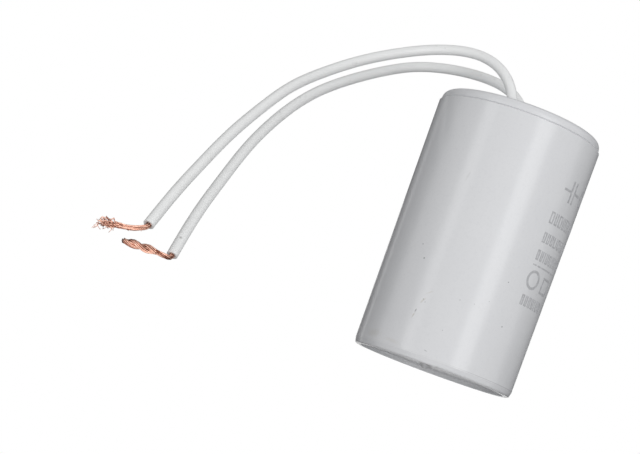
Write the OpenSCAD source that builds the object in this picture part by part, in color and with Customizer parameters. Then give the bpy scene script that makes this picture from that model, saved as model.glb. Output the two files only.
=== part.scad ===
// Motor run capacitor: a wound film element potted in a moulded round can, with two leads.
// Millimetres, +Z up, origin on the table under the middle of the can.

/* [Case] */
// Outer diameter of the case at its open end
case_top_d = 45; // [42:0.1:48]
// Outer diameter of the case just above its bottom edge
case_base_d = 43.6; // [41:0.1:47]
// Thickness of the side wall
wall = 1.8; // [1.2:0.1:3]
// Thickness of the floor
floor_t = 2; // [1.5:0.1:2.5]
// Depth of the recess inside the foot ring
foot_h = 1.2; // [0.6:0.1:2]
// Width of the foot ring
foot_w = 1.6; // [1:0.1:3]
// Height of the tapered band above the table
edge_h = 1.5; // [1:0.1:3]
// How far the tapered band runs in towards the table
edge_in = 0.25; // [0.1:0.05:0.6]
// Radius where the band meets the foot ring
edge_r = 0.5; // [0.2:0.05:0.8]
// Diameter of the gate pip at its root
pip_d = 4; // [2:0.1:5]
// Gap left under the gate pip
pip_gap = 0.1; // [0.05:0.05:0.3]

/* [End cap] */
// Step from the case down to the smaller end cap, on the radius
cap_step = 0.4; // [0:0.05:1]
// Height of the end cap above the seam
cap_rise = 2.7; // [2.4:0.1:4]
// Radius of the end cap's upper edge
cap_edge_r = 2; // [1:0.1:2.4]
// Thickness of the end cap's plate
cap_t = 2.2; // [1.5:0.1:2.6]
// Depth of the skirt inside the case
skirt_h = 5; // [3:0.5:6]
// Thickness of the skirt
skirt_t = 1.4; // [1:0.1:2]
// Bevel around each lead hole
hole_bevel = 0.4; // [0:0.1:0.8]
// Bevel on each side of the seam, which leaves a fine groove round the can
seam_bevel = 0.25; // [0.1:0.05:0.35]

/* [Wound element] */
// Width of the metallised film, which is the height of the roll
film_w = 50; // [46:0.5:52]
// Diameter of the tube that the film is wound on
core_d = 7; // [5:0.1:8.5]
// Wall of that tube
core_wall = 1; // [0.6:0.1:1.5]
// Thickness of the sprayed zinc contact on each end of the roll
spray_t = 0.8; // [0.4:0.1:1]
// Thickness of the plain outer wrap
wrap_t = 0.4; // [0.2:0.1:1]
// Thickness of the insulating pad under the roll
pad_t = 2; // [1.8:0.1:2.8]
// Depth of resin over the roll's upper contact
resin_over = 6; // [5:0.1:7]
// Air between the resin's surface and the skirt of the end cap
air_gap = 1.4; // [0.5:0.1:3]
// Least thickness of resin on either side of the sleeved wire
resin_skin = 0.15; // [0.1:0.05:0.4]

/* [Leads] */
// Outer diameter of the lead insulation
lead_d = 2.8; // [2:0.1:3.2]
// Length of bare conductor between the insulation and the upper contact
strip_h = 3.2; // [3:0.1:4]
// Diameter of the stranded conductor
conductor_d = 1.3; // [0.8:0.1:1.5]
// Diameter of one strand
strand_d = 0.2; // [0.15:0.01:0.21]
// Wall of the sleeve over the connecting wire
sleeve_wall = 0.3; // [0.2:0.05:0.6]
// Bend radius of the connecting wire
wire_bend = 1.5; // [1.2:0.1:1.8]
// Diameter of each solder bead
solder_d = 4; // [3:0.1:4.4]

/* [Hidden] */
$fn = 96;
fine_fn = 32;
bend_steps = 5;
tube_fn = 8;
strand_fn = 5;

// Clearances
weld_gap = 0.05;
seat_gap = 0.05;
// Room round the connecting wire: more than seat_gap, so its channel opens clear into the roll's seat
channel_gap = 0.07;
// How much wider the square room at each bend is than the channel
bend_gap = 0.02;
hole_gap = 0.1;
end_gap = 0.12;
eps = 0.01;

// Routes of the two leads, from the upper face of the end cap down to the table
lead_1_free = [
    [-3, -5.5, 72],
    [-4, -5.5, 76],
    [-6.5, -5, 79.5],
    [-10, -3, 82.5],
    [-14.5, -0.5, 84.5],
    [-20.5, 1, 84.5],
    [-26, 1.5, 83],
    [-31.5, 0, 80.5],
    [-37, -2.5, 77],
    [-42.5, -6, 73],
    [-48.5, -11, 67.5],
    [-52, -15, 63.5],
    [-56.5, -22, 57.5],
    [-59.5, -28, 52],
    [-61.5, -32.5, 47],
    [-64, -38.5, 40.5],
    [-65.5, -42.5, 36],
    [-67, -46.5, 31],
    [-68.5, -51, 25],
    [-70, -56, 19],
    [-71, -60, 14],
    [-72.5, -65.5, 6]
];
lead_2_free = [
    [1, 5.5, 72],
    [0, 5.5, 75.5],
    [-3, 6.5, 78.5],
    [-7.5, 8.5, 80.5],
    [-13, 11.5, 81.5],
    [-18.5, 15, 82],
    [-25, 17, 81.5],
    [-31.5, 16, 79.5],
    [-36.5, 13, 76.5],
    [-43, 7, 71],
    [-46, 3.5, 68],
    [-50, -2, 63.5],
    [-54, -8.5, 58],
    [-57, -14, 52.5],
    [-59.5, -19.5, 46.5],
    [-61.5, -24.5, 40.5],
    [-63, -29.5, 34.5],
    [-64, -34, 28.5],
    [-65, -39, 22],
    [-66, -44.5, 15],
    [-66.5, -48.5, 9],
    [-67, -52.5, 2]
];
// Middle lines of the stripped conductors, going on from the ends of the leads
tip_1_route = [
    [-74, -67, 4.4],
    [-75.8, -68, 3.7],
    [-78, -69, 3.2],
    [-80.5, -70, 2.7],
    [-83, -71, 2.4]
];
tip_2_route = [
    [-67.8, -54.2, 0.9],
    [-69.5, -55.2, 0.9],
    [-71.5, -55.8, 0.9],
    [-74, -55.6, 1],
    [-76.5, -54.8, 1.1],
    [-78.6, -53.6, 1.1]
];
tip_stub = 1;
// Rings of strands around the middle strand, with the number in each
strand_rings = [[0, 1], [1, 6], [2, 11]];
tip_steps = 15;
// The strands leave the insulation straight, and take up their lay over the first third
lay_in = 3;
ring_phase = 40;
tip_1_turns = 0.6;
tip_2_turns = 1.5;
// How far the frayed tip spreads, and where along it the spread starts
fray_spread = 2.1;
fray_start = 0.35;

// Heights, from the table up
base_z = foot_h + floor_t;
pad_z = base_z + pad_t;
roll_z = pad_z + spray_t;
roll_top_z = roll_z + film_w;
spray_top_z = roll_top_z + spray_t;
resin_z = spray_top_z + resin_over;
case_h = resin_z + air_gap + skirt_h;
cap_z = case_h + cap_rise;
lead_start_z = spray_top_z + strip_h;

// Radii
case_top_r = case_top_d / 2;
case_base_r = case_base_d / 2;
foot_r = case_base_r - edge_in;
cap_r = case_top_r - cap_step;
core_r = core_d / 2;
hole_r = lead_d / 2 + hole_gap;
wire_r = conductor_d / 2;
sleeve_r = wire_r + seat_gap + sleeve_wall;
cavity_r = 1.5;

// Outer and inner radius of the drafted case wall at height z
function outer_r(z) = case_base_r + (case_top_r - case_base_r) * (z - edge_h) / (case_h - edge_h);
function inner_r(z) = outer_r(z) - wall;

// The roll fills the case but for its wrap and the channel that the sleeved wire runs down
channel_w = 2 * (sleeve_r + seat_gap + resin_skin);
wrap_r = min(inner_r(base_z), inner_r(case_h)) - channel_w;
roll_r = wrap_r - wrap_t - seat_gap;
pad_r = roll_r - 1;

// Plan positions of the lead exits
exit_1 = [lead_1_free[0].x, lead_1_free[0].y];
exit_2 = [lead_2_free[0].x, lead_2_free[0].y];

// Each lead starts in the resin and comes straight up through the end cap
function whole_route(free) = concat([for (t = [0, 0.5])
    [free[0].x, free[0].y, lead_start_z + t * (free[0].z - lead_start_z)]], free);
lead_1_route = whole_route(lead_1_free);
lead_2_route = whole_route(lead_2_free);

// The connecting wire lies in the plane through the can's axis and the second exit
wire_angle = atan2(exit_2.y, exit_2.x);
wire_start_r = norm(exit_2);
wire_over_z = lead_start_z - wire_bend - seat_gap;
wire_side_r = wrap_r + channel_w / 2;
wire_under_z = pad_z - seat_gap - wire_r;
wire_end_r = 10;
solder_h = 1.5;
pad_slot_w = solder_d + 1;
sleeve_z = roll_z + wire_bend;
sleeve_top_z = roll_top_z - wire_bend;

// The gate pip lies off the middle of the floor
pip_at = [-2, 8.5];
pip_tip_d = 0.8;

// ---- Helpers

// Flat ring with its own inner and outer radius
module ring(z, h, r_out, r_in) {
    translate([0, 0, z]) difference() {
        cylinder(h = h, r = r_out);
        translate([0, 0, -eps]) cylinder(h = h + 2 * eps, r = r_in);
    }
}

// Quarter of a disc, used to round a corner of a section
module corner(r, turn) {
    rotate(turn) intersection() {
        circle(r = r);
        square(r + eps);
    }
}

// Points of a quarter bend in the XZ plane, from one angle to another about a centre
function bend(c, r, from, to) = [for (i = [0:bend_steps])
    let (a = from + (to - from) * i / bend_steps) [c.x + r * cos(a), 0, c.y + r * sin(a)]];

// Unit vector, and the unit tangent at point i of a path
function unit(v) = v / norm(v);
function tangent(p, i) = unit(p[min(i + 1, len(p) - 1)] - p[max(i - 1, 0)]);
// A normal carried along the path without twist
function carry(n, t) = unit(n - (n * t) * t);
function normals(p, n0) = [for (i = 0, n = carry(n0, tangent(p, 0));
    i < len(p); i = i + 1, n = i < len(p) ? carry(n, tangent(p, i)) : n) n];
// Points of one ring of the tube
function tube_ring(c, n, t, r, sides) = [for (k = [0:sides - 1])
    c + r * (cos(360 * k / sides) * n + sin(360 * k / sides) * cross(t, n))];

// Closed round tube swept along a list of points
module tube(path, d, sides) {
    last = len(path) - 1;
    n = normals(path, [1, 0, 0]);
    rings = [for (i = [0:last]) each tube_ring(path[i], n[i], tangent(path, i), d / 2, sides)];
    walls = [for (i = [0:last - 1], k = [0:sides - 1])
        let (a = i * sides + k, b = i * sides + (k + 1) % sides) [a, a + sides, b + sides, b]];
    start = [for (k = [0:sides - 1]) k];
    finish = [for (k = [sides - 1:-1:0]) last * sides + k];
    polyhedron(points = rings, faces = concat(walls, [start, finish]), convexity = 6);
}

// Point at t from 0 to 1 along a smooth curve through the given points
function spline(p, t) =
    let (s = t * (len(p) - 1), i = min(floor(s), len(p) - 2), u = s - i,
        a = p[max(i - 1, 0)], b = p[i], c = p[i + 1], d = p[min(i + 2, len(p) - 1)])
    0.5 * (2 * b + (c - a) * u + (2 * a - 5 * b + 4 * c - d) * u * u + (3 * b - a - 3 * c + d) * u * u * u);

// Stripped end of a lead: rings of thin strands laid round a middle line, opening out by spread
module strands(lead, tip, turns, spread) {
    lead_end = lead[len(lead) - 1];
    out = tangent(lead, len(lead) - 1);
    route = concat([lead_end + end_gap * out, lead_end + tip_stub * out], tip);
    mid = [for (i = [0:tip_steps]) spline(route, i / tip_steps)];
    n = normals(mid, [1, 0, 0]);
    pitch_r = (conductor_d - strand_d) / 4;
    for (layer = strand_rings, k = [0:layer[1] - 1])
        tube([for (i = [0:tip_steps])
            let (t = i / tip_steps,
                open = max(0, (t - fray_start) / (1 - fray_start)),
                r = layer[0] * (pitch_r + spread * open * open / 2),
                a = 360 * (k / layer[1] + turns * t * min(1, lay_in * t)) + ring_phase * layer[0],
                q = mid[i] + r * (cos(a) * n[i] + sin(a) * cross(tangent(mid, i), n[i])))
            [q.x, q.y, max(q.z, strand_d)]], strand_d, strand_fn);
}

// ---- Case and cap

// Half section of the moulded can with its foot ring, recess and rounded corners
module case_section() {
    difference() {
        union() {
            polygon([[0, 0], [foot_r - edge_r, 0], [foot_r, edge_r], [case_base_r, edge_h],
                [outer_r(case_h - seam_bevel), case_h - seam_bevel],
                [case_top_r - seam_bevel, case_h], [0, case_h]]);
            translate([foot_r - edge_r, edge_r]) corner(edge_r, -90);
        }
        translate([-eps, -eps]) square([foot_r - foot_w - edge_r + eps, foot_h + eps]);
        translate([-eps, -eps]) square([foot_r - foot_w + eps, foot_h - edge_r + eps]);
        translate([foot_r - foot_w - edge_r, foot_h - edge_r]) corner(edge_r, 0);
        space_section(case_h + eps, 0);
    }
}

// Half section of the space inside the case up to a given height, smaller than it by a gap
module space_section(top_z, gap) {
    low_r = inner_r(base_z + cavity_r) - gap;
    polygon([[0, base_z], [low_r - cavity_r, base_z], [low_r - cavity_r, base_z + cavity_r],
        [low_r, base_z + cavity_r], [inner_r(top_z) - gap, top_z], [0, top_z]]);
    translate([low_r - cavity_r, base_z + cavity_r]) corner(cavity_r, -90);
}

module case() {
    color("white") {
        rotate_extrude() case_section();
        translate([pip_at.x, pip_at.y, pip_gap])
            cylinder(h = foot_h - pip_gap + eps, d1 = pip_tip_d, d2 = pip_d);
    }
}

// Half section of the end cap: plate with a rounded edge, flange on the case rim and a skirt inside it
module cap_section() {
    skirt_z = case_h - skirt_h;
    plate_z = cap_z - cap_t;
    skirt_r = inner_r(case_h) - weld_gap;
    skirt_low_r = inner_r(skirt_z) - weld_gap;
    hollow_r = skirt_low_r - skirt_t;
    polygon([[0, plate_z], [hollow_r, plate_z], [hollow_r, skirt_z], [skirt_low_r, skirt_z],
        [skirt_r, case_h], [cap_r - seam_bevel, case_h], [cap_r, case_h + seam_bevel],
        [cap_r, cap_z - cap_edge_r],
        [cap_r - cap_edge_r, cap_z - cap_edge_r], [cap_r - cap_edge_r, cap_z], [0, cap_z]]);
    translate([cap_r - cap_edge_r, cap_z - cap_edge_r]) corner(cap_edge_r, 0);
}

module end_cap() {
    color("whitesmoke") difference() {
        rotate_extrude() cap_section();
        for (at = [exit_1, exit_2]) translate([at.x, at.y, 0]) {
            translate([0, 0, case_h - skirt_h]) cylinder(h = skirt_h + cap_rise + eps, r = hole_r);
            translate([0, 0, cap_z - hole_bevel])
                cylinder(h = hole_bevel + eps, r1 = hole_r, r2 = hole_r + hole_bevel + eps);
        }
    }
}

// ---- Wound element

module film_winding() {
    color("silver") ring(roll_z, film_w, roll_r, core_r + seat_gap);
}

module winding_core() {
    color("ivory") ring(pad_z, film_w + 2 * spray_t, core_r, core_r - core_wall);
}

module outer_wrap() {
    color("lightyellow") ring(roll_z, film_w, wrap_r, roll_r + seat_gap);
}

module spray(z) {
    color("gray") ring(z, spray_t, wrap_r, core_r + seat_gap);
}

module lower_spray() {
    spray(pad_z);
}

module upper_spray() {
    spray(roll_top_z);
}

// Pad that holds the element off the floor, slotted for the connecting wire and its solder
module bottom_pad() {
    color("khaki") difference() {
        ring(base_z, pad_t, pad_r, core_r);
        rotate([0, 0, wire_angle])
            translate([wire_end_r - solder_d / 2 - seat_gap, -pad_slot_w / 2, base_z - eps])
                cube([pad_r, pad_slot_w, pad_t + 2 * eps]);
    }
}

// ---- Connections inside the case

// Solder bead, wide end at z = 0, tapering along +Z
module solder_bead(h) {
    cylinder(h = h, d1 = solder_d, d2 = solder_d * 0.6);
}

module upper_solder() {
    color("lightgray") difference() {
        translate([exit_1.x, exit_1.y, spray_top_z]) solder_bead(solder_h);
        upper_tail_shape(seat_gap);
    }
}

module lower_solder() {
    color("lightgray") difference() {
        rotate([0, 0, wire_angle]) translate([wire_end_r, 0, pad_z]) mirror([0, 0, 1])
            solder_bead(solder_h);
        tail_channel();
    }
}

// Stripped inner end of lead 1, straight down to the upper contact
module upper_tail_shape(grow) {
    translate([exit_1.x, exit_1.y, spray_top_z])
        cylinder(h = lead_start_z - spray_top_z, r = wire_r + grow, $fn = fine_fn);
}

module upper_tail() {
    color("peru") upper_tail_shape(0);
}

// Inner end of lead 2: out over the roll, down its side and in under it to the lower contact
over_r = wire_side_r - wire_bend;
tail_path = concat(
    [[wire_start_r, 0, lead_start_z]],
    bend([wire_start_r + wire_bend, wire_over_z + wire_bend], wire_bend, 180, 270),
    bend([over_r, wire_over_z - wire_bend], wire_bend, 90, 0),
    bend([over_r, wire_under_z + wire_bend], wire_bend, 0, -90),
    [[wire_end_r, 0, wire_under_z]]);

module lower_tail() {
    color("peru") rotate([0, 0, wire_angle]) tube(tail_path, conductor_d, tube_fn);
}

// Room for the same wire in what surrounds it: a channel along each run, and a square one at each bend
module tail_channel() {
    r = wire_r + channel_gap;
    side = r + bend_gap;
    square_w = wire_bend + side;
    rotate([0, 0, wire_angle]) {
        for (run = [[wire_start_r - r, wire_over_z], [wire_end_r - seat_gap, wire_under_z]])
            translate([run[0], 0, run[1]]) rotate([0, 90, 0])
                cylinder(h = wire_side_r - run[0], r = r, $fn = fine_fn);
        translate([wire_side_r, 0, wire_under_z - r])
            cylinder(h = wire_over_z - wire_under_z + 2 * r, r = r, $fn = fine_fn);
        translate([wire_start_r, 0, wire_over_z])
            cylinder(h = lead_start_z - wire_over_z + eps, r = r, $fn = fine_fn);
        for (low_corner = [
            [wire_start_r - side, wire_over_z - side],
            [over_r, wire_over_z - wire_bend],
            [over_r, wire_under_z - side]])
            translate([low_corner.x, -side, low_corner.y]) cube([square_w, 2 * side, square_w]);
    }
}

module tail_sleeve_shape(bore) {
    rotate([0, 0, wire_angle]) translate([wire_side_r, 0, 0])
        ring(sleeve_z, sleeve_top_z - sleeve_z, sleeve_r, bore);
}

module tail_sleeve() {
    color("lemonchiffon") tail_sleeve_shape(wire_r + seat_gap);
}

// ---- Potting

// Everything that the resin flows round
module potted_pieces() {
    difference() {
        translate([0, 0, pad_z]) cylinder(h = spray_top_z - pad_z, r = wrap_r + seat_gap);
        translate([0, 0, pad_z - eps])
            cylinder(h = spray_top_z - pad_z + 2 * eps, r = core_r - core_wall - seat_gap);
    }
    difference() {
        translate([0, 0, base_z - eps]) cylinder(h = pad_t + 2 * eps, r = pad_r + seat_gap);
        translate([0, 0, base_z - 2 * eps]) cylinder(h = pad_t + 4 * eps, r = core_r - seat_gap);
        rotate([0, 0, wire_angle])
            translate([wire_end_r - solder_d / 2, -pad_slot_w / 2 + seat_gap, base_z - 2 * eps])
                cube([pad_r, pad_slot_w - 2 * seat_gap, pad_t + 4 * eps]);
    }
    upper_tail_shape(seat_gap);
    tail_channel();
    translate([exit_1.x, exit_1.y, spray_top_z]) solder_bead(solder_h + seat_gap);
    rotate([0, 0, wire_angle]) translate([wire_end_r, 0, pad_z]) mirror([0, 0, 1])
        solder_bead(solder_h + seat_gap);
    rotate([0, 0, wire_angle]) translate([wire_side_r, 0, sleeve_z])
        cylinder(h = sleeve_top_z - sleeve_z, r = sleeve_r + seat_gap, $fn = fine_fn);
    for (at = [exit_1, exit_2]) translate([at.x, at.y, lead_start_z])
        cylinder(h = resin_z - lead_start_z + eps, r = lead_d / 2 + seat_gap);
}

module potting_resin() {
    color("gainsboro") difference() {
        rotate_extrude() space_section(resin_z, seat_gap);
        potted_pieces();
    }
}

// ---- Leads

module lead_1() {
    color("white") tube(lead_1_route, lead_d, tube_fn);
}

module lead_2() {
    color("white") tube(lead_2_route, lead_d, tube_fn);
}

module lead_1_strands() {
    color("peru") strands(lead_1_route, tip_1_route, tip_1_turns, fray_spread);
}

module lead_2_strands() {
    color("peru") strands(lead_2_route, tip_2_route, tip_2_turns, 0);
}

case();
end_cap();
potting_resin();
bottom_pad();
winding_core();
film_winding();
outer_wrap();
lower_spray();
upper_spray();
lower_solder();
upper_solder();
upper_tail();
lower_tail();
tail_sleeve();
lead_1();
lead_2();
lead_1_strands();
lead_2_strands();
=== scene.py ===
import math
import random

import bmesh
import bpy
from mathutils import Matrix, Vector


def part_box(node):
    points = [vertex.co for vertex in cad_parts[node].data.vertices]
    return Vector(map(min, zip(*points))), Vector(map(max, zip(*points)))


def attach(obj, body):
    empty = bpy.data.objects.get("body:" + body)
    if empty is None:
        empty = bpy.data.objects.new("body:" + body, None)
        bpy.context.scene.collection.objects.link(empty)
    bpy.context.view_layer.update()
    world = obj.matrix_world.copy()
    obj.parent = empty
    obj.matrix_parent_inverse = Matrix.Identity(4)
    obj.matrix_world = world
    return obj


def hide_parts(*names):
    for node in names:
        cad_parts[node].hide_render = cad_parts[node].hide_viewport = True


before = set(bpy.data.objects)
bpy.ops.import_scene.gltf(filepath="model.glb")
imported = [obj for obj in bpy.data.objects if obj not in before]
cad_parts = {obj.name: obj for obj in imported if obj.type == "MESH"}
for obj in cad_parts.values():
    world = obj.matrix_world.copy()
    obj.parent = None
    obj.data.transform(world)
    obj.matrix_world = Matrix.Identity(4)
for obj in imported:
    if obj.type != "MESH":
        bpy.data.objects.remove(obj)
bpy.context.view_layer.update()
scene = bpy.context.scene
mm = 0.001  # the frame is in metres, and the sizes below are in millimetres
finePieces = 3000  # short pieces that a route is measured in
mixFactor, mixFirst, mixSecond, mixResult = 0, 6, 7, 2  # sockets of a colour Mix node
print("frame loaded")

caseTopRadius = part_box("case")[1][0]
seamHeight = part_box("case")[1][2]


def toLinear(hexColour):
    # sRGB hex to the linear colour that the shaders take
    channels = [int(hexColour[i:i + 2], 16) / 255 for i in (1, 3, 5)]
    return [c / 12.92 if c <= 0.04045 else ((c + 0.055) / 1.055) ** 2.4 for c in channels] + [1.0]


def aroundCan(azimuth, radius, height):
    # azimuth 0 is the side towards the camera, and it grows towards +X
    turn = math.radians(azimuth)
    return Vector((radius * math.sin(turn), -radius * math.cos(turn), height))


def caseRadius(height):
    # the case is drafted: narrower at its foot
    low, high = caseFace["lowRadius"] * mm, caseTopRadius
    start = caseFace["bandHeight"] * mm
    return low + (high - low) * (height - start) / (seamHeight - start)


def catmullPoint(points, t):
    # the same smooth curve as the part's own, through its route points
    s = t * (len(points) - 1)
    i = min(int(s), len(points) - 2)
    u = s - i
    a, b = points[max(i - 1, 0)], points[i]
    c, d = points[i + 1], points[min(i + 2, len(points) - 1)]
    return 0.5 * (2 * b + (c - a) * u + (2 * a - 5 * b + 4 * c - d) * u * u
                  + (3 * b - a - 3 * c + d) * u * u * u)


def evenLine(points, step):
    # the smooth curve through the points, cut into equal steps
    fine = [catmullPoint(points, i / finePieces) for i in range(finePieces + 1)]
    marks = [0.0]
    for a, b in zip(fine, fine[1:]):
        marks.append(marks[-1] + (b - a).length)
    count = round(marks[-1] / step)
    line, k = [], 0
    for i in range(count + 1):
        goal = marks[-1] * i / count
        while k < finePieces - 1 and marks[k + 1] < goal:
            k += 1
        line.append(fine[k].lerp(fine[k + 1], (goal - marks[k]) / (marks[k + 1] - marks[k])))
    return line


def relaxLine(line, passes, pinned):
    # takes the small kinks out of a given route, as the lead's own stiffness does
    for _ in range(passes):
        middle = [0.25 * line[i - 1] + 0.5 * line[i] + 0.25 * line[i + 1]
                  for i in range(pinned, len(line) - 1)]
        line = line[:pinned] + middle + line[-1:]
    return line


def tangentAt(points, i):
    return (points[min(i + 1, len(points) - 1)] - points[max(i - 1, 0)]).normalized()


def sideFrames(points):
    # a side direction carried along the line without twisting
    side = tangentAt(points, 0).orthogonal().normalized()
    sides = []
    for i in range(len(points)):
        along = tangentAt(points, i)
        side = (side - side.dot(along) * along).normalized()
        sides.append((side, along.cross(side)))
    return sides


def growRing(bm, edges, move):
    # extrudes a ring of edges and moves the new ring
    made = bmesh.ops.extrude_edge_only(bm, edges=edges)["geom"]
    ring = {g for g in made if isinstance(g, bmesh.types.BMVert)}
    bmesh.ops.transform(bm, matrix=move, verts=list(ring))
    return [g for g in made if isinstance(g, bmesh.types.BMEdge) and set(g.verts) <= ring]


def sweepTube(bm, points, radius, sides, endSteps=()):
    # a ring grown along the points, then shaped by endSteps of (forward, share of the radius)
    along = tangentAt(points, 0)
    start = Matrix.Translation(points[0]) @ along.to_track_quat("Z", "X").to_matrix().to_4x4()
    ring = bmesh.ops.create_circle(bm, cap_ends=True, segments=sides, radius=radius, matrix=start)["verts"]
    edges = list({e for v in ring for e in v.link_edges})
    for i in range(1, len(points)):
        turn = along.rotation_difference(tangentAt(points, i)).to_matrix().to_4x4()
        along = tangentAt(points, i)
        edges = growRing(bm, edges, Matrix.Translation(points[i]) @ turn @ Matrix.Translation(-points[i - 1]))
    centre, share = points[-1].copy(), 1.0
    for forward, target in endSteps:
        onward = centre + along * forward
        edges = growRing(bm, edges, Matrix.Translation(onward) @ Matrix.Scale(target / share, 4)
                         @ Matrix.Translation(-centre))
        centre, share = onward, target
    bmesh.ops.contextual_create(bm, geom=edges)


def finishMesh(bm, name, material, smooth=True):
    bmesh.ops.recalc_face_normals(bm, faces=bm.faces)
    mesh = bpy.data.meshes.new(name)
    bm.to_mesh(mesh)
    bm.free()
    piece = bpy.data.objects.new(name, mesh)
    scene.collection.objects.link(piece)
    mesh.materials.append(material)
    if smooth:
        mesh.shade_smooth()
    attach(piece, "root")
    return piece


cameraView = {
    "place": (0, -462.3, -22.2),
    "aim": (-40.87, 0, 25.74),
    "roll": 20.37,
    "lens": 98.03,
}


def setCamera():
    data = bpy.data.cameras.new("camera")
    data.lens = cameraView["lens"]
    data.sensor_width = 36
    data.clip_start, data.clip_end = 0.01, 20
    camera = bpy.data.objects.new("camera", data)
    place = Vector(cameraView["place"]) * mm
    look = (Vector(cameraView["aim"]) * mm - place).to_track_quat("-Z", "Y").to_matrix().to_4x4()
    roll = Matrix.Rotation(math.radians(cameraView["roll"]), 4, "Z")
    camera.matrix_world = Matrix.Translation(place) @ look @ roll
    scene.collection.objects.link(camera)
    scene.camera = camera


setCamera()
print("camera set")


def newMaterial(name, **values):
    # values set the Principled shader's own sockets
    material = bpy.data.materials.new(name)
    material.use_nodes = True
    shader = material.node_tree.nodes["Principled BSDF"]
    for socket, value in values.items():
        shader.inputs[socket.replace("_", " ")].default_value = value
    return material, material.node_tree, shader


def addNode(tree, kind, inputs=None, result=None, **settings):
    # adds a node, sets its options and links or sets each input; gives the named output if asked
    node = tree.nodes.new("ShaderNode" + kind)
    for name, value in settings.items():
        setattr(node, name, value)
    for name, value in (inputs or {}).items():
        if isinstance(value, bpy.types.NodeSocket):
            tree.links.new(value, node.inputs[name])
        else:
            # a string is a hex colour
            node.inputs[name].default_value = toLinear(value) if isinstance(value, str) else value
    return node if result is None else node.outputs[result]


def perMm(size):
    # scale of a pattern whose features are size millimetres across
    return 1 / (size * mm)


caseFace = {
    "lowRadius": 21.8,
    "bandHeight": 1.5,
    "colour": "#DCDDDF",
    "cloudColour": "#D6D7DA",
    "cloudSize": 14,
    "mottle": "#D2D3D6",
    "mottleSize": 0.7,
    "grainSize": 0.35,
    "grainDepth": 0.003,
    "ripple": 9,
    "rippleDepth": 0.03,
    "markEdgeSize": 0.5,
    "roughness": 0.21,
    # painted shade: a soft dark line along the crease where the foot band starts, stronger on the +X side
    "footCreaseShade": {"height": 1.75, "half": 0.16, "colour": "#B2B3B6"},
    # marks as (azimuth, height, half width, half height, lean in degrees, colour, strength)
    "marks": [
        (-31.2, 25.4, 0.30, 0.30, 0, "#77787A", 0.85), (-35.8, 28.8, 0.22, 0.22, 0, "#77787A", 0.7),
        (-21.3, 15.3, 0.20, 0.20, 0, "#77787A", 0.7), (-19.5, 14.7, 0.24, 0.24, 0, "#77787A", 0.5),
        (29.5, 26.8, 0.22, 0.22, 0, "#77787A", 0.8), (36.8, 15.7, 0.26, 0.26, 0, "#77787A", 0.9),
        (2.1, 18.1, 0.16, 0.16, 0, "#77787A", 0.6), (-23.9, 12.0, 0.20, 0.60, 13, "#77787A", 0.75),
        (-24.4, 10.7, 0.26, 1.0, 13, "#B3ADA3", 0.6), (-21.4, 14.9, 0.32, 1.2, 31, "#B9B4AA", 0.5),
        (-18.7, 17.4, 0.25, 1.4, 55, "#C3BFB7", 0.35), (-52.0, 3.4, 3.2, 1.3, -8, "#C3C0B8", 0.28),
        (-33.0, 2.8, 3.0, 0.6, 5, "#C6C3BC", 0.25), (12.0, 18.4, 0.14, 0.14, 0, "#77787A", 0.6),
        (-8.0, 3.1, 0.6, 0.16, 10, "#8E8F90", 0.5), (21.0, 20.4, 0.18, 0.18, 0, "#8E8F90", 0.5),
        (-21.0, 48.8, 0.4, 1.6, 12, "#C9CACB", 0.5), (-2.0, 9.4, 0.18, 0.18, 0, "#8E8F90", 0.6),
        (118.0, 33.0, 0.22, 0.22, 0, "#77787A", 0.7), (171.0, 51.0, 0.26, 0.26, 0, "#77787A", 0.7),
        (-140.0, 19.0, 0.22, 0.5, 35, "#77787A", 0.7), (-97.0, 44.0, 0.18, 0.18, 0, "#77787A", 0.7),
        (150.0, 9.0, 3.5, 1.2, 12, "#C3C0B8", 0.3),
    ],
}
capFace = dict(caseFace, colour="#DADBDD", cloudSize=9, roughness=0.3, footCreaseShade=None, marks=[])


def addMark(tree, coords, out, mark):
    # a speck or smear: an ellipse on the can, broken up a little at its edge
    azimuth, height, halfWidth, halfHeight, lean, colour, strength = mark
    place = aroundCan(azimuth, caseRadius(height * mm), height * mm)
    turn = Matrix.Rotation(math.radians(azimuth), 3, "Z") @ Matrix.Rotation(math.radians(lean), 3, "Y")
    local = addNode(tree, "Mapping", {"Vector": coords, "Location": place, "Rotation": turn.to_euler(),
                                      "Scale": (halfWidth * mm, halfWidth * mm, halfHeight * mm)},
                    "Vector", vector_type="TEXTURE")
    away = addNode(tree, "VectorMath", {0: local}, "Value", operation="LENGTH")
    patchy = addNode(tree, "TexNoise", {"Vector": coords, "Scale": perMm(caseFace["markEdgeSize"])}, "Fac")
    rough = addNode(tree, "Math", {0: patchy, 1: 0.9, 2: away}, 0, operation="MULTIPLY_ADD")
    mask = addNode(tree, "MapRange", {"Value": rough, "From Min": 1.45, "From Max": 0.75, "To Max": strength},
                   "Result")
    return addNode(tree, "Mix", {mixFactor: mask, mixFirst: out, mixSecond: colour}, mixResult,
                   data_type="RGBA")


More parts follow.
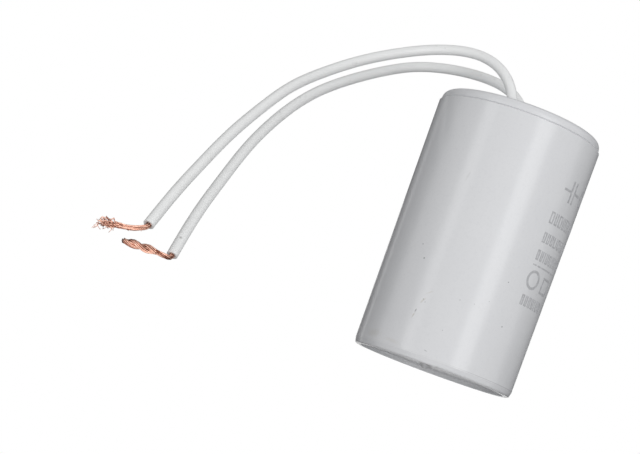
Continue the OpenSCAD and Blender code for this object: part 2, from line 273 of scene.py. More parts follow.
def mouldedPolypropylene(name, face):
    # injection-moulded white polypropylene: a satin skin with a fine mould grain, soft cloudiness in its
    # tint, a slow ripple that breaks up its highlights, specks and smears from handling, and, where asked, a
    # painted shade line above the foot
    material, tree, shader = newMaterial(name, Roughness=face["roughness"], IOR=1.49)
    coords = addNode(tree, "TexCoord", result="Object")
    cloud = addNode(tree, "TexNoise", {"Vector": coords, "Scale": perMm(face["cloudSize"]), "Detail": 3.0},
                    "Fac")
    out = addNode(tree, "Mix", {mixFactor: cloud, mixFirst: face["colour"], mixSecond: face["cloudColour"]},
                  mixResult, data_type="RGBA")
    mottle = addNode(tree, "TexNoise", {"Vector": coords, "Scale": perMm(face["mottleSize"])}, "Fac")
    mottle = addNode(tree, "MapRange", {"Value": mottle, "From Min": 0.5, "From Max": 0.8, "To Max": 0.5},
                     "Result")
    out = addNode(tree, "Mix", {mixFactor: mottle, mixFirst: out, mixSecond: face["mottle"]}, mixResult,
                  data_type="RGBA")
    for mark in face["marks"]:
        out = addMark(tree, coords, out, mark)
    # painted shade: a thin darker line along the crease where the foot band starts
    if face["footCreaseShade"]:
        line = face["footCreaseShade"]
        parts = addNode(tree, "SeparateXYZ", {"Vector": coords}).outputs
        off = addNode(tree, "Math", {0: parts["Z"], 1: line["height"] * mm}, 0, operation="SUBTRACT")
        off = addNode(tree, "Math", {0: off}, 0, operation="ABSOLUTE")
        near = addNode(tree, "MapRange", {"Value": off, "From Min": line["half"] * mm, "From Max": 0.0},
                       "Result")
        # the painted shade line gets heavier towards +X
        shadeSideWeight = addNode(tree, "MapRange", {"Value": parts["X"], "From Min": 2 * mm, "From Max": 12 * mm,
                                               "To Min": 0.12, "To Max": 0.75}, "Result")
        mask = addNode(tree, "Math", {0: near, 1: shadeSideWeight}, 0, operation="MULTIPLY")
        out = addNode(tree, "Mix", {mixFactor: mask, mixFirst: out, mixSecond: line["colour"]}, mixResult,
                      data_type="RGBA")
    tree.links.new(out, shader.inputs["Base Color"])
    grain = addNode(tree, "TexNoise", {"Vector": coords, "Scale": perMm(face["grainSize"])}, "Fac")
    bump = addNode(tree, "Bump", {"Height": grain, "Strength": 0.5, "Distance": face["grainDepth"] * mm},
                   "Normal")
    ripple = addNode(tree, "TexNoise", {"Vector": coords, "Scale": perMm(face["ripple"]), "Detail": 1.0},
                     "Fac")
    bump = addNode(tree, "Bump", {"Height": ripple, "Strength": 0.4, "Distance": face["rippleDepth"] * mm,
                                  "Normal": bump}, "Normal")
    tree.links.new(bump, shader.inputs["Normal"])
    return material


jacket = {
    "diameter": 2.8,
    "colour": "#E9EAEA",
    "cloudColour": "#E3E4E4",
    "dirtColour": "#8B8A87",
    "sides": 28,
    "step": 1.0,
    "relax": 40,
    "cloudSize": 5,
    "dirtSize": 3,
    "smudgeSize": 0.6,
    "skinSize": 1.2,
    "pinned": 12,
    # the cut end, as (forward, share of the radius) in millimetres
    "cutEnd": [(0.04, 0.985), (0.05, 0.93), (0.02, 0.84), (-0.02, 0.56), (-0.10, 0.52), (-2.2, 0.5)],
    # handling marks as (place, half size) in millimetres
    "marks": [((-66.7, -51.3, 6.6), 0.45), ((-26.0, -0.9, 83.0), 0.5), ((-68.0, -52.4, 2.8), 0.6),
              ((-60.0, -30.4, 49.5), 0.35)],
}


def extrudedPvc():
    # extruded wire insulation: soft white PVC with a dull sheen, faint clouding and handling dirt
    material, tree, shader = newMaterial("extrudedPvc", Roughness=0.4, IOR=1.53)
    coords = addNode(tree, "TexCoord", result="Object")
    cloud = addNode(tree, "TexNoise", {"Vector": coords, "Scale": perMm(jacket["cloudSize"]), "Detail": 3.0},
                    "Fac")
    out = addNode(tree, "Mix", {mixFactor: cloud, mixFirst: jacket["colour"],
                                mixSecond: jacket["cloudColour"]}, mixResult, data_type="RGBA")
    soil = addNode(tree, "TexNoise", {"Vector": coords, "Scale": perMm(jacket["dirtSize"]), "Detail": 4.0},
                   "Fac")
    soil = addNode(tree, "MapRange", {"Value": soil, "From Min": 0.66, "From Max": 0.8, "To Max": 0.22},
                   "Result")
    out = addNode(tree, "Mix", {mixFactor: soil, mixFirst: out, mixSecond: jacket["dirtColour"]}, mixResult,
                  data_type="RGBA")
    patchy = addNode(tree, "TexNoise", {"Vector": coords, "Scale": perMm(jacket["smudgeSize"])}, "Fac")
    for place, half in jacket["marks"]:
        away = addNode(tree, "VectorMath", {0: coords, 1: Vector(place) * mm}, "Value", operation="DISTANCE")
        rough = addNode(tree, "Math", {0: patchy, 1: half * mm, 2: away}, 0, operation="MULTIPLY_ADD")
        mask = addNode(tree, "MapRange", {"Value": rough, "From Min": half * mm * 1.6,
                                          "From Max": half * mm * 0.7, "To Max": 0.75}, "Result")
        out = addNode(tree, "Mix", {mixFactor: mask, mixFirst: out, mixSecond: jacket["dirtColour"]},
                      mixResult, data_type="RGBA")
    tree.links.new(out, shader.inputs["Base Color"])
    skin = addNode(tree, "TexNoise", {"Vector": coords, "Scale": perMm(jacket["skinSize"])}, "Fac")
    bump = addNode(tree, "Bump", {"Height": skin, "Strength": 0.4, "Distance": 0.006 * mm}, "Normal")
    tree.links.new(bump, shader.inputs["Normal"])
    return material


def drawnCopper():
    # fine drawn copper wire: salmon metal, with strands and patches browned by the air
    material, tree, shader = newMaterial("drawnCopper", Metallic=1.0, Roughness=0.33)
    coords = addNode(tree, "TexCoord", result="Object")
    tone = addNode(tree, "Attribute", result="Fac", attribute_name="tone")
    patchy = addNode(tree, "TexNoise", {"Vector": coords, "Scale": perMm(copper["patchSize"])}, "Fac")
    both = addNode(tree, "Math", {0: patchy, 1: tone}, 0, operation="MULTIPLY")
    brown = addNode(tree, "MapRange", {"Value": both, "From Min": 0.12, "From Max": 0.5}, "Result")
    colour = addNode(tree, "Mix", {mixFactor: brown, mixFirst: copper["bright"], mixSecond: copper["brown"]},
                     mixResult, data_type="RGBA")
    tree.links.new(colour, shader.inputs["Base Color"])
    return material


leadOneRoute = [
    (-3, -5.5, 60), (-3, -5.5, 66), (-3, -5.5, 72), (-4, -5.5, 76), (-6.5, -5, 79.5),
    (-10, -3, 82.5), (-14.5, -0.5, 84.5), (-20.5, 1, 84.5), (-26, 1.5, 83), (-31.5, 0, 80.5),
    (-37, -2.5, 77), (-42.5, -6, 73), (-48.5, -11, 67.5), (-52, -15, 63.5), (-56.5, -22, 57.5),
    (-59.5, -28, 52), (-61.5, -32.5, 47), (-64, -38.5, 40.5), (-65.5, -42.5, 36),
    (-67, -46.5, 31), (-68.5, -51, 25), (-70, -56, 19), (-71, -60, 14), (-72.5, -65.5, 6),
]
leadTwoRoute = [
    (1, 5.5, 60), (1, 5.5, 66), (1, 5.5, 72), (0, 5.5, 75.5), (-3, 6.5, 78.5), (-7.5, 8.5, 80.5),
    (-13, 11.5, 81.5), (-18.5, 15, 82), (-25, 17, 81.5), (-31.5, 16, 79.5), (-36.5, 13, 76.5),
    (-43, 7, 71), (-46, 3.5, 68), (-50, -2, 63.5), (-54, -8.5, 58), (-57, -14, 52.5),
    (-59.5, -19.5, 46.5), (-61.5, -24.5, 40.5), (-63, -29.5, 34.5), (-64, -34, 28.5),
    (-65, -39, 22), (-66, -44.5, 15), (-66.5, -48.5, 9), (-67, -52.5, 2),
]


def makeJacket(name, route):
    line = evenLine([Vector(p) * mm for p in route], jacket["step"] * mm)
    line = relaxLine(line, jacket["relax"], jacket["pinned"])
    bm = bmesh.new()
    steps = [(forward * mm, share) for forward, share in jacket["cutEnd"]]
    sweepTube(bm, line, jacket["diameter"] * mm / 2, jacket["sides"], steps)
    piece = finishMesh(bm, name, leadSkin)
    return piece, line


copper = {
    "bright": "#E6B8A4",
    "brown": "#84503F",
    "strand": 0.29,
    "patchSize": 0.9,
    # rings of strands as (radius, count) in millimetres
    "rings": [(0.0, 1), (0.28, 5), (0.50, 8)],
    "step": 0.3,
    "sides": 8,
    "wander": 0.05,
}
# middle lines of the stripped ends, going on from the ends of the leads
tipOneRoute = [(-74, -67, 4.4), (-75.8, -68, 3.7), (-78, -69, 3.2), (-80.5, -70, 2.7), (-83, -71, 2.4)]
tipTwoRoute = [
    (-67.8, -54.2, 1.1), (-69.5, -55.2, 1.15), (-71.5, -55.8, 1.2), (-74, -55.6, 1.2),
    (-76.5, -54.8, 1.2), (-78.2, -53.8, 1.2),
]
brush = {
    "opensAt": 0.56,
    "spread": 1.5,
    "turns": 0.4,
    "kink": 0.55,
    # short crooked wires that fill out the tuft
    "curls": 34,
    "curlLength": 2.2,
    "curlBend": 260,
    # stray wires as (leaves the bundle at, azimuth, length, curl) in millimetres and degrees
    "strays": [(0.44, 80, 1.8, 200), (0.96, 180, 2.2, 20), (0.86, -60, 2.2, -170), (0.50, 30, 1.3, 150),
               (0.24, 200, 0.8, 60), (0.32, -20, 0.7, -70)],
    "strayThick": 0.13,
}
rope = {
    "foldFrom": 0.36,
    "legGap": 0.98,
    "turns": 1.1,
    "laidTurns": 1.6,
}


def wanderLine(chance, size):
    # a slow sideways wander for one strand, as a function of the way along it
    waves = [(chance.uniform(1.5, 4.0), chance.uniform(0, 2 * math.pi)) for axis in range(3)]
    return lambda t: Vector([size * math.sin(2 * math.pi * speed * t + start) for speed, start in waves])


def keepAbove(point, low):
    point.z = max(point.z, low)
    return point


def tipLine(lead, tip):
    out = tangentAt(lead, len(lead) - 1)
    start = [lead[-1] - out * 1.2 * mm, lead[-1] + out * 0.7 * mm]
    return evenLine(start + [Vector(p) * mm for p in tip], copper["step"] * mm)


def strandsInBundle():
    # (its ring's radius, its angle) of every strand in a bundle
    for radius, count in copper["rings"]:
        for k in range(count):
            yield radius * mm, 2 * math.pi * k / count + radius * 3


def addStrand(bm, tones, points, thick, tone):
    first = len(bm.verts)
    sweepTube(bm, [keepAbove(p, thick * 0.55) for p in points], thick / 2, copper["sides"])
    bm.verts.ensure_lookup_table()
    for v in bm.verts[first:]:
        v[tones] = tone


def addCurl(bm, tones, start, heading, length, bend, tone):
    # a short free wire that curls evenly from its start
    side = heading.orthogonal().normalized()
    turn = Matrix.Rotation(math.radians(bend) / 12, 3, side)
    point, points = start, []
    for step in range(12):
        points.append(point)
        point = point + heading * length * mm / 12
        heading = turn @ heading
    addStrand(bm, tones, points, brush["strayThick"] * mm, tone)


def makeBrush(name, lead):
    # lead 1's end: a tight bundle that frays into a short tuft of crooked wires
    chance = random.Random(11)
    middle = tipLine(lead, tipOneRoute)
    sides = sideFrames(middle)
    last = len(middle) - 1
    thick = copper["strand"] * mm
    bm = bmesh.new()
    tones = bm.verts.layers.float.new("tone")
    for radius, angle in strandsInBundle():
        wander = wanderLine(chance, copper["wander"] * mm * 0.5)
        flare = chance.uniform(0.15, 1.0) * brush["spread"] * mm
        heading = chance.uniform(0, 2 * math.pi)
        stop = last - chance.randrange(0, 7)
        kinks = [Vector([chance.uniform(-1, 1) for axis in range(3)]) for k in range(last // 3 + 2)]
        points = []
        for i in range(stop + 1):
            t = i / last
            opened = max(0.0, (t - brush["opensAt"]) / (1 - brush["opensAt"]))
            turn = angle + 2 * math.pi * brush["turns"] * t
            side, up = sides[i]
            outward = math.cos(heading) * side + math.sin(heading) * up
            kink = kinks[i // 3].lerp(kinks[i // 3 + 1], (i % 3) / 3)
            kink = kink * brush["kink"] * mm * min(1, 3 * opened)
            points.append(middle[i] + radius * (math.cos(turn) * side + math.sin(turn) * up)
                          + wander(t) * min(1, 6 * t) + outward * flare * opened ** 0.8 + kink)
        addStrand(bm, tones, points, thick, chance.random())
    for number in range(brush["curls"]):
        opened = chance.uniform(0.15, 1.0)
        i = round((brush["opensAt"] + (1 - brush["opensAt"]) * opened) * last)
        turn = chance.uniform(0, 2 * math.pi)
        side, up = sides[i]
        outward = math.cos(turn) * side + math.sin(turn) * up
        start = middle[i] + outward * chance.uniform(0, 0.8) * brush["spread"] * mm * opened
        heading = (outward + tangentAt(middle, i) * chance.uniform(-0.3, 1.2)).normalized()
        addCurl(bm, tones, start, heading, brush["curlLength"] * chance.uniform(0.5, 1.0),
                chance.uniform(-1, 1) * brush["curlBend"], chance.random())
    for leaves, azimuth, length, curl in brush["strays"]:
        i = round(leaves * last)
        side, up = sides[i]
        turn = math.radians(azimuth)
        heading = (math.cos(turn) * side + math.sin(turn) * up) * 0.8 + tangentAt(middle, i) * 0.6
        start = middle[i] + heading * 0.3 * mm
        addCurl(bm, tones, start, heading.normalized(), length, curl, chance.random())
    return finishMesh(bm, name, copperSkin)


def makeRope(name, lead):
    # lead 2's end: the bundle is folded back and twisted round itself
    chance = random.Random(5)
    middle = tipLine(lead, tipTwoRoute)
    sides = sideFrames(middle)
    last = len(middle) - 1
    fold = round(rope["foldFrom"] * last)
    half = rope["legGap"] * mm / 2

    def legPoint(i, sign):
        t = max(0.0, (i - fold) / (last - fold))
        turn = 2 * math.pi * rope["turns"] * t + 0.6
        side, up = sides[i]
        return middle[i] + sign * half * min(1, 3 * t) * (math.cos(turn) * side + math.sin(turn) * up)

    outward = [legPoint(i, 1) for i in range(last + 1)]
    back = [legPoint(i, -1) for i in range(last, fold, -1)]
    onward = tangentAt(middle, last)
    loop = []
    for k in range(1, 6):
        turn = math.pi * k / 6
        loop.append(middle[last] + (outward[-1] - middle[last]) * math.cos(turn)
                    + onward * half * math.sin(turn) * 1.8)
    line = relaxLine(outward + loop + back, 2, 3)
    frames = sideFrames(line)
    thick = copper["strand"] * mm
    bm = bmesh.new()
    tones = bm.verts.layers.float.new("tone")
    for radius, angle in strandsInBundle():
        wander = wanderLine(chance, copper["wander"] * mm)
        stop = len(line) - 1 - chance.randrange(0, 5)
        points = []
        for i in range(stop + 1):
            t = i / (len(line) - 1)
            turn = angle + 2 * math.pi * rope["laidTurns"] * t
            side, up = frames[i]
            points.append(line[i] + radius * (math.cos(turn) * side + math.sin(turn) * up)
                          + wander(t) * min(1, 6 * t))
        addStrand(bm, tones, points, thick, chance.random())
    return finishMesh(bm, name, copperSkin)


leadSkin = extrudedPvc()
copperSkin = drawnCopper()
leadOne, lineOne = makeJacket("leadOneJacket", leadOneRoute)
leadTwo, lineTwo = makeJacket("leadTwoJacket", leadTwoRoute)
strandsOne = makeBrush("leadOneStrands", lineOne)
strandsTwo = makeRope("leadTwoStrands", lineTwo)
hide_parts("lead_1")
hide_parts("lead_2")
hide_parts("lead_1_strands")
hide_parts("lead_2_strands")
print("leads made")


caseSkin = mouldedPolypropylene("casePolypropylene", caseFace)
capSkin = mouldedPolypropylene("capPolypropylene", capFace)


def dress(nodeName, material):
    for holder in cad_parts[nodeName].material_slots:
        holder.material = material


dress("case", caseSkin)
dress("end_cap", capSkin)
print("can dressed")


marking = {
    "azimuth": 68,
    "lift": 0.03,
    "depth": 0.05,
    "colour": "#A9AAAD",
    "wornColour": "#C4C5C8",
    # bars as (left, low, right, high) in millimetres, from the middle of the marking
    "bars": [
        # capacitor symbol: two plates and two leads
        (-8.0, 54.9, -5.0, 55.5), (-5.0, 52.2, -4.3, 58.2), (-3.3, 52.2, -2.6, 58.2), (-2.6, 54.9, 0.4, 55.5),
        # ruled line under the rows
        (-9.4, 33.6, 8.6, 34.0),
    ],
    # rows as (low, high, left, widths of the blocks, gap)
    "rows": [
        (45.2, 48.4, -9.4, (1.5, 1.3, 1.7, 1.2, 1.6, 0.8, 1.5, 1.3, 1.4), 0.5),
        (39.9, 42.7, -9.4, (1.2, 1.2, 1.2, 1.8, 1.4, 1.4, 0.7, 1.3, 1.3), 0.45),
        (35.1, 37.9, -9.4, (1.1, 1.1, 0.5, 1.2, 1.2, 1.2, 0.5, 1.4, 1.2, 1.2), 0.45),
        (22.9, 25.7, -9.2, (1.1, 1.1, 1.1, 1.1, 0.6, 1.3, 1.3), 0.45),
    ],
    # rings and outlined squares as (sides, turn, across, height, outer radius, inner radius)
    "rings": [(32, 0, -7.2, 30.0, 2.6, 1.9), (32, 0, 3.4, 55.2, 2.3, 1.75), (4, 45, -0.6, 29.8, 3.1, 2.3)],
    "stroke": 0.42,
    "wearSize": 0.8,
}


def frameShape(bm, segments, turn, across, height, outer, inner):
    # a flat ring or outlined polygon, turned by so many degrees
    place = Matrix.Translation((across, height, 0)) @ Matrix.Rotation(math.radians(turn), 4, "Z")
    bmesh.ops.create_circle(bm, segments=segments, radius=outer, matrix=place)
    made = bm.edges[-segments:]
    rim = bmesh.ops.extrude_edge_only(bm, edges=made)["geom"]
    inside = [g for g in rim if isinstance(g, bmesh.types.BMVert)]
    centre = Matrix.Translation((-across, -height, 0))
    bmesh.ops.scale(bm, vec=[inner / outer] * 3, space=centre, verts=inside)


def addBar(bm, left, low, right, high):
    place = Matrix.Translation(((left + right) / 2, (low + high) / 2, 0))
    size = Matrix.Diagonal((right - left, high - low, 1, 1))
    bmesh.ops.create_grid(bm, x_segments=1, y_segments=1, size=0.5, matrix=place @ size)


def makeMarking():
    # plain stand-in for the can's rating marks: a capacitor symbol, blocks in rows, a rule and outlines
    stroke = marking["stroke"]
    bm = bmesh.new()
    for bar in marking["bars"]:
        addBar(bm, *bar)
    for low, high, left, widths, gap in marking["rows"]:
        for number, width in enumerate(widths):
            # each block is an outlined box, open on one side or closed, like print seen from afar
            addBar(bm, left, low, left + stroke, high)
            if width > 2 * stroke:
                addBar(bm, left + width - stroke, low, left + width, high)
                for level in ((high - stroke, high), (low, low + stroke))[number % 2:]:
                    addBar(bm, left + stroke, level[0], left + width - stroke, level[1])
            left += width + gap
    for ring in marking["rings"]:
        frameShape(bm, *ring)
    wide = [e for e in bm.edges if abs(e.verts[0].co.x - e.verts[1].co.x) > 1]
    bmesh.ops.subdivide_edges(bm, edges=wide, cuts=6, use_grid_fill=True)
    bmesh.ops.triangulate(bm, faces=bm.faces)
    bmesh.ops.recalc_face_normals(bm, faces=bm.faces)
    bmesh.ops.solidify(bm, geom=bm.faces[:], thickness=marking["depth"])
    for v in bm.verts:
        radius = caseRadius(v.co.y * mm) + (marking["lift"] - abs(v.co.z)) * mm
        turn = marking["azimuth"] + math.degrees(v.co.x * mm / radius)
        v.co = aroundCan(turn, radius, v.co.y * mm)
    return finishMesh(bm, "caseMarking", markingSkin, smooth=False)


def laserMarkedPlastic():
    # laser-marked polypropylene: faint grey and matt, worn away in patches
    material, tree, shader = newMaterial("laserMarkedPlastic", Roughness=0.5, IOR=1.49)
    coords = addNode(tree, "TexCoord", result="Object")
    worn = addNode(tree, "TexNoise", {"Vector": coords, "Scale": perMm(marking["wearSize"]), "Detail": 4.0},
                   "Fac")
    worn = addNode(tree, "MapRange", {"Value": worn, "From Min": 0.35, "From Max": 0.75}, "Result")
    colour = addNode(tree, "Mix", {mixFactor: worn, mixFirst: marking["colour"],
                                   mixSecond: marking["wornColour"]}, mixResult, data_type="RGBA")
    tree.links.new(colour, shader.inputs["Base Color"])
    return material


markingSkin = laserMarkedPlastic()
makeMarking()
print("marking made")


inside = {
    "resin": {"colour": "#E2DCC8", "cloud": "#CFC6AC", "cloudSize": 8, "bubble": 1.6},
    "board": {"colour": "#C8AC7C", "fibre": "#A98B5B", "fibreSize": 0.5},
    "tube": {"colour": "#E9E6DC", "cloud": "#DDD8CA", "lineSize": 0.8},
    "film": {"colour": "#C9CCD0", "line": "#8F9398", "turn": 0.35},
    "wrap": {"colour": "#E8D9A0", "cloud": "#D8C684", "cloudSize": 6, "lap": 12},
    "zinc": {"colour": "#9A9DA0", "dark": "#6E7174", "droplet": 0.45},
    "solder": {"colour": "#C9CCD2", "dull": "#9FA2A8", "puckerSize": 1.2},
    "sleeve": {"colour": "#E6D9AE", "braid": "#CDBB86", "thread": 0.5},
}


def castPolyurethane():
    # cast polyurethane potting: a cloudy cream solid with a soft skin and small air bubbles
    look = inside["resin"]
    material, tree, shader = newMaterial("castPolyurethane", Roughness=0.35, IOR=1.5)
    coords = addNode(tree, "TexCoord", result="Object")
    cloud = addNode(tree, "TexNoise", {"Vector": coords, "Scale": perMm(look["cloudSize"]), "Detail": 4.0},
                    "Fac")
    colour = addNode(tree, "Mix", {mixFactor: cloud, mixFirst: look["colour"], mixSecond: look["cloud"]},
                     mixResult, data_type="RGBA")
    tree.links.new(colour, shader.inputs["Base Color"])
    cells = addNode(tree, "TexVoronoi", {"Vector": coords, "Scale": perMm(look["bubble"])}, "Distance")
    pits = addNode(tree, "MapRange", {"Value": cells, "From Min": 0.12, "From Max": 0.2}, "Result")
    bump = addNode(tree, "Bump", {"Height": pits, "Strength": 0.5, "Distance": 0.1 * mm}, "Normal")
    tree.links.new(bump, shader.inputs["Normal"])
    return material


def pressedBoard():
    # pressed insulating board: tan paper fibres under a dull varnish
    look = inside["board"]
    material, tree, shader = newMaterial("pressedBoard", Roughness=0.7, IOR=1.5)
    coords = addNode(tree, "TexCoord", result="Object")
    drawn = addNode(tree, "Mapping", {"Vector": coords, "Scale": (1, 0.2, 1)}, "Vector")
    fibres = addNode(tree, "TexNoise", {"Vector": drawn, "Scale": perMm(look["fibreSize"]), "Detail": 4.0},
                     "Fac")
    shade = addNode(tree, "MapRange", {"Value": fibres, "From Min": 0.35, "From Max": 0.7}, "Result")
    colour = addNode(tree, "Mix", {mixFactor: shade, mixFirst: look["colour"], mixSecond: look["fibre"]},
                     mixResult, data_type="RGBA")
    tree.links.new(colour, shader.inputs["Base Color"])
    bump = addNode(tree, "Bump", {"Height": fibres, "Strength": 0.5, "Distance": 0.05 * mm}, "Normal")
    tree.links.new(bump, shader.inputs["Normal"])
    return material


def extrudedTube():
    # extruded polypropylene tube: milky, smooth along its length, with faint draw lines
    look = inside["tube"]
    material, tree, shader = newMaterial("extrudedTube", Roughness=0.38, IOR=1.49)
    coords = addNode(tree, "TexCoord", result="Object")
    drawn = addNode(tree, "Mapping", {"Vector": coords, "Scale": (1, 1, 0.05)}, "Vector")
    lines = addNode(tree, "TexNoise", {"Vector": drawn, "Scale": perMm(look["lineSize"]), "Detail": 3.0},
                    "Fac")
    colour = addNode(tree, "Mix", {mixFactor: lines, mixFirst: look["colour"], mixSecond: look["cloud"]},
                     mixResult, data_type="RGBA")
    tree.links.new(colour, shader.inputs["Base Color"])
    bump = addNode(tree, "Bump", {"Height": lines, "Strength": 0.3, "Distance": 0.02 * mm}, "Normal")
    tree.links.new(bump, shader.inputs["Normal"])
    return material


def woundFilm():
    # metallised film wound tight: silvery, with the fine rings of its turns on both ends, drawn
    # coarser than the real 0.006 mm film so that they show
    look = inside["film"]
    material, tree, shader = newMaterial("woundFilm", Metallic=0.85, Roughness=0.35)
    coords = addNode(tree, "TexCoord", result="Object")
    flat = addNode(tree, "VectorMath", {0: coords, 1: (1, 1, 0)}, "Vector", operation="MULTIPLY")
    across = addNode(tree, "VectorMath", {0: flat}, "Value", operation="LENGTH")
    turns = addNode(tree, "Math", {0: across, 1: 2 * math.pi / (look["turn"] * mm)}, 0, operation="MULTIPLY")
    wave = addNode(tree, "Math", {0: turns}, 0, operation="SINE")
    line = addNode(tree, "MapRange", {"Value": wave, "From Min": 0.2, "From Max": 1.0, "To Max": 0.7},
                   "Result")
    colour = addNode(tree, "Mix", {mixFactor: line, mixFirst: look["colour"], mixSecond: look["line"]},
                     mixResult, data_type="RGBA")
    tree.links.new(colour, shader.inputs["Base Color"])
    bump = addNode(tree, "Bump", {"Height": wave, "Strength": 0.4, "Distance": 0.02 * mm}, "Normal")
    tree.links.new(bump, shader.inputs["Normal"])
    return material


def wrappingTape():
    # polyester tape round the roll: yellowish and glossy, with overlaps that show as faint steps
    look = inside["wrap"]
    material, tree, shader = newMaterial("wrappingTape", Roughness=0.2, IOR=1.57)
    coords = addNode(tree, "TexCoord", result="Object")
    height = addNode(tree, "SeparateXYZ", {"Vector": coords}, "Z")
    lap = addNode(tree, "Math", {0: height, 1: look["lap"] * mm, 2: 0.0}, 0, operation="WRAP")
    step = addNode(tree, "MapRange", {"Value": lap, "From Min": (look["lap"] - 1) * mm,
                                      "From Max": (look["lap"] - 0.8) * mm}, "Result")
    shade = addNode(tree, "MapRange", {"Value": step, "To Max": 0.4}, "Result")
    cloud = addNode(tree, "TexNoise", {"Vector": coords, "Scale": perMm(look["cloudSize"]), "Detail": 3.0},
                    "Fac")
    colour = addNode(tree, "Mix", {mixFactor: cloud, mixFirst: look["colour"], mixSecond: look["cloud"]},
                     mixResult, data_type="RGBA")
    colour = addNode(tree, "Mix", {mixFactor: shade, mixFirst: colour, mixSecond: look["cloud"]}, mixResult,
                     data_type="RGBA")
    tree.links.new(colour, shader.inputs["Base Color"])
    bump = addNode(tree, "Bump", {"Height": step, "Strength": 0.5, "Distance": 0.05 * mm}, "Normal")
    tree.links.new(bump, shader.inputs["Normal"])
    return material


def sprayedZinc():
    # flame-sprayed zinc: dull grey metal built up from flattened droplets, rough like fine sandpaper
    look = inside["zinc"]
    material, tree, shader = newMaterial("sprayedZinc", Metallic=0.9, Roughness=0.6)
    coords = addNode(tree, "TexCoord", result="Object")
    drops = addNode(tree, "TexVoronoi", {"Vector": coords, "Scale": perMm(look["droplet"])}, "Distance")
    shade = addNode(tree, "MapRange", {"Value": drops, "From Min": 0.2, "From Max": 0.8}, "Result")
    colour = addNode(tree, "Mix", {mixFactor: shade, mixFirst: look["colour"], mixSecond: look["dark"]},
                     mixResult, data_type="RGBA")
    tree.links.new(colour, shader.inputs["Base Color"])
    bump = addNode(tree, "Bump", {"Height": drops, "Strength": 0.8, "Distance": 0.12 * mm}, "Normal",
                   invert=True)
    tree.links.new(bump, shader.inputs["Normal"])
    return material


def softSolder():
    # soft solder that froze as a bead: bright tin, duller and slightly puckered in places
    look = inside["solder"]
    material, tree, shader = newMaterial("softSolder", Metallic=1.0, Roughness=0.25)
    coords = addNode(tree, "TexCoord", result="Object")
    pucker = addNode(tree, "TexNoise", {"Vector": coords, "Scale": perMm(look["puckerSize"]), "Detail": 3.0},
                     "Fac")
    shade = addNode(tree, "MapRange", {"Value": pucker, "From Min": 0.45, "From Max": 0.7}, "Result")
    colour = addNode(tree, "Mix", {mixFactor: shade, mixFirst: look["colour"], mixSecond: look["dull"]},
                     mixResult, data_type="RGBA")
    tree.links.new(colour, shader.inputs["Base Color"])
    bump = addNode(tree, "Bump", {"Height": pucker, "Strength": 0.4, "Distance": 0.1 * mm}, "Normal")
    tree.links.new(bump, shader.inputs["Normal"])
    return material


def braidedSleeve():
    # varnished glass-fibre sleeve: cream, with the weave of its braid
    look = inside["sleeve"]
    material, tree, shader = newMaterial("braidedSleeve", Roughness=0.5, IOR=1.5)
    coords = addNode(tree, "TexCoord", result="Object")
    weave = addNode(tree, "TexVoronoi", {"Vector": coords, "Scale": perMm(look["thread"])}, "Distance",
                    distance="MANHATTAN")
    shade = addNode(tree, "MapRange", {"Value": weave, "From Min": 0.2, "From Max": 0.9}, "Result")
    colour = addNode(tree, "Mix", {mixFactor: shade, mixFirst: look["colour"], mixSecond: look["braid"]},
                     mixResult, data_type="RGBA")
    tree.links.new(colour, shader.inputs["Base Color"])
    bump = addNode(tree, "Bump", {"Height": weave, "Strength": 0.6, "Distance": 0.08 * mm}, "Normal",
                   invert=True)
    tree.links.new(bump, shader.inputs["Normal"])
    return material


innerSkins = {
    "potting_resin": castPolyurethane(),
    "bottom_pad": pressedBoard(),
    "winding_core": extrudedTube(),
    "film_winding": woundFilm(),
    "outer_wrap": wrappingTape(),
    "tail_sleeve": braidedSleeve(),
    "upper_tail": copperSkin,
    "lower_tail": copperSkin,
}
innerSkins.update(dict.fromkeys(("lower_spray", "upper_spray"), sprayedZinc()))
innerSkins.update(dict.fromkeys(("lower_solder", "upper_solder"), softSolder()))
for nodeName, skin in innerSkins.items():
    dress(nodeName, skin)
print("inner pieces dressed")


studio = {
    "floorRadius": 0.9,
    "ambient": 0.27,
    # name, azimuth, height, distance, width, tallness, radiance, shows in gloss
    "softboxes": [
        ("keyStrip", 34, 0.17, 0.70, 0.28, 0.70, 2.75, True),
        ("leftStrip", -44.5, 0.15, 0.70, 0.185, 0.50, 2.0, True),
        ("rightFill", 75, 0.15, 0.80, 0.60, 0.60, 0.68, False),
        ("frontFill", -5, 0.05, 0.90, 1.20, 1.00, 0.85, True),
        ("overhead", 180, 0.80, 0.15, 0.70, 0.70, 1.2, False),
        ("backFill", 180, 0.20, 0.90, 0.80, 0.80, 2.0, False),
    ],
    # black cards that only gloss sees, as (azimuth, height, distance, width, tallness)
    "cards": [(-113, 0.04, 0.55, 0.36, 0.9), (-150, 0.04, 0.55, 0.26, 0.9), (132, 0.04, 0.55, 0.75, 0.9),
              (180, 0.42, 0.40, 1.2, 0.8), (180, -0.40, 0.50, 1.2, 0.6)],
}


def setWorld():
    world = bpy.data.worlds.new("studioWorld")
    world.use_nodes = True
    scene.world = world
    tree = world.node_tree
    path = addNode(tree, "LightPath").outputs
    seen = addNode(tree, "Math", {0: path["Is Camera Ray"], 1: path["Is Glossy Ray"]}, 0, operation="MAXIMUM")
    seen = addNode(tree, "Math", {0: seen, 1: path["Is Transmission Ray"]}, 0, operation="MAXIMUM")
    level = addNode(tree, "MapRange", {"Value": seen, "To Min": studio["ambient"], "To Max": 1.0}, "Result")
    background = tree.nodes["Background"]
    background.inputs["Color"].default_value = (1, 1, 1, 1)
    tree.links.new(level, background.inputs["Strength"])


def faceCan(azimuth, height, distance):
    place = aroundCan(azimuth, distance, height)
    aim = Vector((0, 0, seamHeight / 2))
    return Matrix.Translation(place) @ (aim - place).to_track_quat("-Z", "Y").to_matrix().to_4x4()


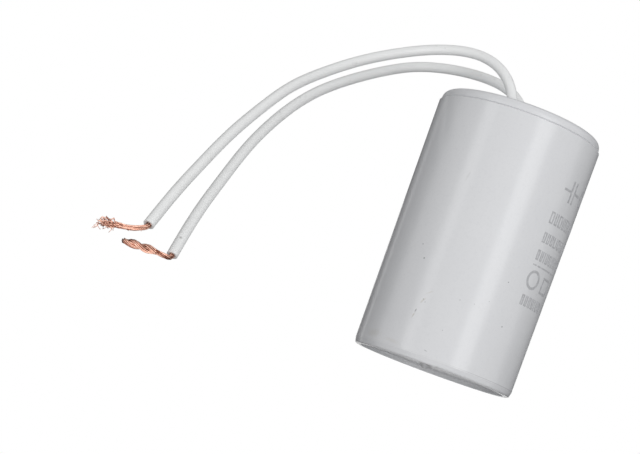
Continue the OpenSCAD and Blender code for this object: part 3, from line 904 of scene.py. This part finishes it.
def addSoftbox(name, azimuth, height, distance, width, tallness, radiance, inGloss):
    data = bpy.data.lights.new(name, "AREA")
    data.shape = "RECTANGLE"
    data.size, data.size_y = width, tallness
    data.energy = radiance * math.pi * width * tallness
    lamp = bpy.data.objects.new(name, data)
    lamp.matrix_world = faceCan(azimuth, height, distance)
    lamp.visible_camera = False
    lamp.visible_glossy = inGloss
    scene.collection.objects.link(lamp)


def addCard(azimuth, height, distance, width, tallness):
    # a black card that only the gloss sees
    bm = bmesh.new()
    bmesh.ops.create_grid(bm, x_segments=1, y_segments=1, size=0.5)
    bmesh.ops.scale(bm, vec=(width, tallness, 1), verts=bm.verts)
    bmesh.ops.transform(bm, matrix=faceCan(azimuth, height, distance), verts=bm.verts)
    mesh = bpy.data.meshes.new("blackCard")
    bm.to_mesh(mesh)
    bm.free()
    material, tree, shader = newMaterial("blackFelt", Roughness=1.0)
    shader.inputs["Base Color"].default_value = toLinear("#101010")
    mesh.materials.append(material)
    card = bpy.data.objects.new("blackCard", mesh)
    scene.collection.objects.link(card)
    card.visible_camera = False
    card.visible_diffuse = False
    card.visible_shadow = False


def makeFloor():
    bm = bmesh.new()
    bmesh.ops.create_circle(bm, cap_ends=True, segments=96, radius=studio["floorRadius"])
    mesh = bpy.data.meshes.new("floor")
    bm.to_mesh(mesh)
    bm.free()
    floor = bpy.data.objects.new("floor", mesh)
    scene.collection.objects.link(floor)
    material, tree, shader = newMaterial("matteFloor", Roughness=0.9)
    shader.inputs["Base Color"].default_value = toLinear("#F4F4F3")
    coords = addNode(tree, "TexCoord", result="Object")
    away = addNode(tree, "VectorMath", {0: coords}, "Value", operation="LENGTH")
    fade = addNode(tree, "MapRange", {"Value": away, "From Min": 0.2, "From Max": 0.6}, "Result",
                   interpolation_type="SMOOTHSTEP")
    under = addNode(tree, "NewGeometry", result="Backfacing")
    hidden = addNode(tree, "Math", {0: fade, 1: under}, 0, operation="MAXIMUM")
    clear = addNode(tree, "BsdfTransparent", result=0)
    mix = addNode(tree, "MixShader", {0: hidden, 1: shader.outputs[0], 2: clear}, 0)
    tree.links.new(mix, tree.nodes["Material Output"].inputs["Surface"])
    mesh.materials.append(material)
    floor.visible_shadow = False
    floor.visible_diffuse = False
    floor.visible_glossy = False


setWorld()
for softbox in studio["softboxes"]:
    addSoftbox(*softbox)
for card in studio["cards"]:
    addCard(*card)
makeFloor()
scene.view_settings.view_transform = "Standard"
print("studio lit")
